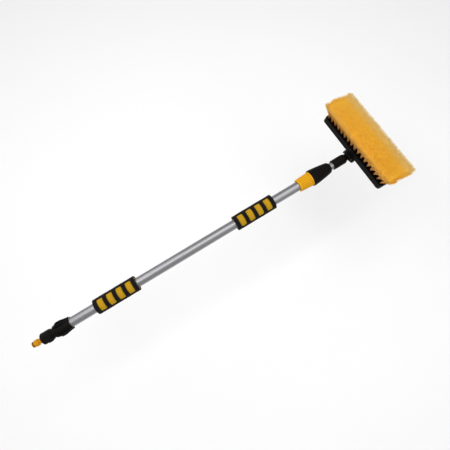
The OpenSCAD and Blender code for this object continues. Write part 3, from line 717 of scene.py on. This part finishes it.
def strands(path, rim, tone_and_painted_shade, draw):
    """Tapered three-sided tubes along the paths: the points, and the three tones of each."""
    count = len(path)
    turn = draw.uniform(0, 2 * math.pi, count)[:, None] + np.arange(STRAND_SIDES) * (
        2 * math.pi / STRAND_SIDES)
    taper = 1.0 - STRAND_TAPER * np.linspace(0.0, 1.0, STRAND_RINGS)
    taper[-1] = STRAND_TAPER
    around = np.stack([np.cos(turn), np.sin(turn), np.zeros_like(turn)], axis=-1)
    rings = path[:, :, None, :] + (STRAND_RADIUS * taper[None, :, None, None]
                                   * around[:, None, :, :])
    along = np.broadcast_to(np.linspace(0, 1, STRAND_RINGS)[None, :, None], rings.shape[:3])
    tones = np.stack([along, np.broadcast_to(rim[:, None, None], along.shape),
                      np.broadcast_to(tone_and_painted_shade[:, None, None], along.shape)], axis=-1)
    return rings, tones


def tube_faces(count, rings, sides):
    """The wall quads and the two end faces of that many closed tubes, one after another."""
    k, s = np.meshgrid(np.arange(rings - 1), np.arange(sides), indexing="ij")
    k, s = k.ravel(), s.ravel()
    turned = (s + 1) % sides
    quads = np.stack([k * sides + s, k * sides + turned,
                      (k + 1) * sides + turned, (k + 1) * sides + s], axis=1)
    start = np.arange(count)[:, None] * rings * sides
    root = start + np.arange(sides)[::-1]
    tip = start + (rings - 1) * sides + np.arange(sides)
    return (start[:, :, None] + quads).reshape(-1, 4).tolist() + root.tolist() + tip.tolist()


def add_tufts(node, strand_tubes, heart_tube, finishes):
    """One row's strands and heart as a single piece, with their tones as "strand"."""
    pivot, axes = head_axes()
    points, tones, faces, used = [], [], [], 0
    for tubes, tone in (strand_tubes, heart_tube):
        more = tube_faces(*tubes.shape[:3])
        faces += [[corner + used for corner in face] for face in more]
        points.append(tubes.reshape(-1, 3) @ axes + pivot)
        tones.append(tone.reshape(-1, 3))
        used += len(points[-1])
    points, tones = np.concatenate(points), np.concatenate(tones)
    mesh = bpy.data.meshes.new(node + "_strands")
    mesh.from_pydata(points.tolist(), [], faces)
    mesh.materials.append(finishes["bristles"])
    mesh.polygons.foreach_set("use_smooth", np.ones(len(mesh.polygons), bool))
    colour = mesh.color_attributes.new("strand", "FLOAT_COLOR", "POINT")
    colour.data.foreach_set("color", np.column_stack([tones, np.ones(used)]).ravel())
    mesh.update()
    piece = bpy.data.objects.new(node + "_strands", mesh)
    bpy.context.scene.collection.objects.link(piece)
    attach(piece, "brush_head")
    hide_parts(node)


# ---- Stage ----

FLOOR_GAP = 330.0 * MM
FLOOR_SIZE = 60.0
SKY_STRENGTH = 0.80
SKY_STOPS = [(0.1, (0.50, 0.50, 0.51)), (0.9, (1.0, 1.0, 1.0))]
# Name, place, size and watts
LAMPS = (("softbox", (0.50, 0.10, 1.50), (1.9, 0.8), 11.5),
         ("key", (-0.3, 1.3, 1.5), (1.0, 1.0), 6.0),
         ("fill", (1.3, -1.0, 1.5), (1.2, 1.2), 5.0))


def make_stage():
    """A white floor under the pole, a bright sky that darkens to the horizon, and soft lamps."""
    level = CAD_BOX[0].z - FLOOR_GAP
    half = FLOOR_SIZE / 2
    mesh = bpy.data.meshes.new("floor")
    mesh.from_pydata([(-half, -half, level), (half, -half, level), (half, half, level),
                      (-half, half, level)], [], [(0, 1, 2, 3)])
    finish = Finish("floor_paper")
    finish.feed(base_color=finish.mix(finish.noise(3.0), (0.93, 0.93, 0.93), (0.95, 0.95, 0.95)),
                roughness=0.9)
    mesh.materials.append(finish.material)
    floor = bpy.data.objects.new("floor", mesh)
    bpy.context.scene.collection.objects.link(floor)

    world = bpy.data.worlds.new("sky")
    world.use_nodes = True
    bpy.context.scene.world = world
    tree = world.node_tree
    place = tree.nodes.new("ShaderNodeTexCoord")
    split = tree.nodes.new("ShaderNodeSeparateXYZ")
    band = tree.nodes.new("ShaderNodeValToRGB")
    tree.links.new(place.outputs["Generated"], split.inputs[0])
    tree.links.new(split.outputs["Z"], band.inputs[0])
    tree.links.new(band.outputs[0], tree.nodes["Background"].inputs[0])
    Finish.set_stops(band.color_ramp, SKY_STOPS)
    tree.nodes["Background"].inputs[1].default_value = SKY_STRENGTH
    for name, at, size, power in LAMPS:
        add_lamp(name, Vector(at), size, power)
    bpy.context.scene.view_settings.view_transform = "Standard"


def add_lamp(name, at, size, power):
    """A rectangular area lamp aimed at the middle of the pole."""
    data = bpy.data.lights.new(name, "AREA")
    data.shape = "RECTANGLE"
    data.size, data.size_y = size
    data.energy = power
    lamp = bpy.data.objects.new(name, data)
    bpy.context.scene.collection.objects.link(lamp)
    aim = Vector(((CAD_BOX[0].x + CAD_BOX[1].x) / 2, 0.0, 0.0))
    turn = (at - aim).to_track_quat("Z", "Y").to_matrix().to_4x4()
    lamp.matrix_world = Matrix.Translation(at) @ turn


place_camera()
finishes = make_finishes()
clothe_nodes(finishes)
for which in ("rear", "front"):
    make_grip(which, finishes)
make_bristles(finishes)
make_stage()
